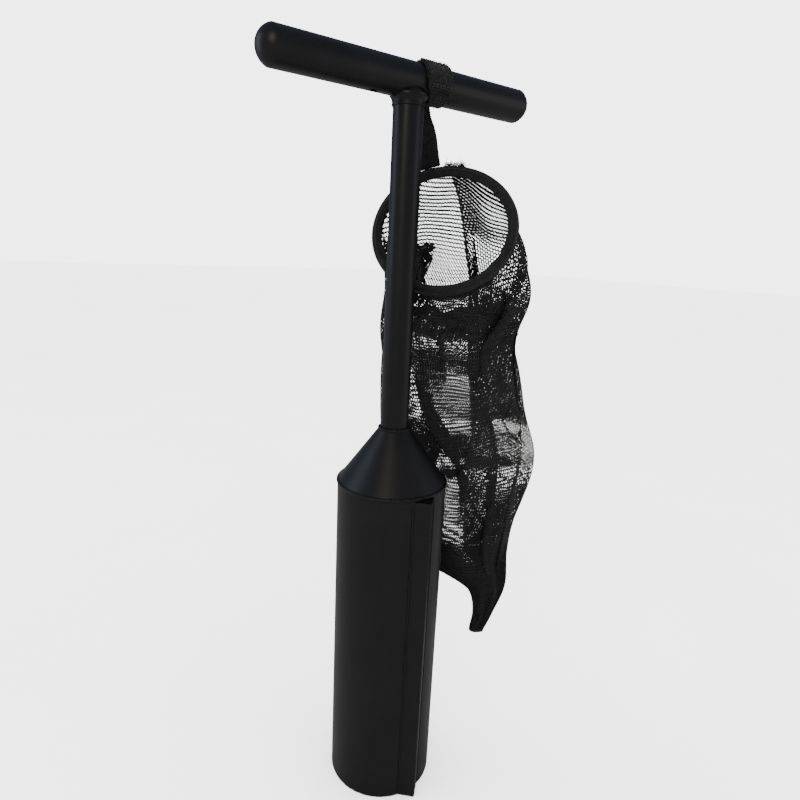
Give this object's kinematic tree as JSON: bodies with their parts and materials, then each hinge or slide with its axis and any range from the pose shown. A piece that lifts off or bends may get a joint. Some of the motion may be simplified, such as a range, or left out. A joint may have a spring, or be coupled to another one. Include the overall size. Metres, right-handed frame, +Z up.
{
  "type": "sand coring tube with catch net",
  "caption": "Open-ended steel coring tube with side vent channel, cone, neck and T handle, and a mesh catch bag on a hoop hung from the handle by a strap.",
  "frame": {"origin": "centre of the barrel's open bottom end, on the ground plane it stands on", "axes": "+Z up the barrel's axis to the handle, X along the handle, -Y on the side of the vent channel"},
  "size_m": [0.3275, 0.1481, 0.7586],
  "materials": {
    "coated_steel": "satin black powder coat",
    "hoop_steel": "plain wire",
    "strap_web": "brushed hook and loop tape",
    "binding_tape": "ribbed tape",
    "net": "knitted polyester net",
    "thread": "sewing thread"
  },
  "bodies": {
    "tool": {"barrel_tube": "coated_steel", "vent_channel": "coated_steel", "channel_weld_left": "coated_steel", "channel_weld_right": "coated_steel", "cone_reducer": "coated_steel", "cone_base_weld": "coated_steel", "cone_top_weld": "coated_steel", "neck_tube": "coated_steel", "handle_tube": "coated_steel", "handle_weld": "coated_steel", "left_end_cap": "coated_steel", "right_end_cap": "coated_steel"},
    "strap": {"strap_wrap": "strap_web", "strap_flap": "strap_web", "flap_end_stitch": "thread"},
    "hanger": {"strap_tail": "strap_web", "tail_stitch": "thread"},
    "net": {"hoop_wire": "hoop_steel", "hoop_ferrule": "hoop_steel", "hoop_binding": "binding_tape", "net_upper": "net", "net_middle": "net", "net_lower": "net", "net_tip": "net", "bag_side_seam": "thread", "bag_bottom_seam": "thread", "seam_tuft": "net"}
  },
  "joints": [
    {"name": "strap_slide", "type": "slide", "parent": "tool", "child": "strap", "axis": [1, 0, 0], "range_m": [0, 0.095]},
    {"name": "strap_swing", "type": "hinge", "parent": "strap", "child": "hanger", "pos_m": [0.022, 0, 0.7397], "axis": [1, 0, 0], "range_deg": [0, 75]},
    {"name": "hoop_tilt", "type": "hinge", "parent": "hanger", "child": "net", "pos_m": [0.05501, 0.03551, 0.67355], "axis": [0.643, -0.7148, 0.275], "range_deg": [0, 60]}
  ]
}
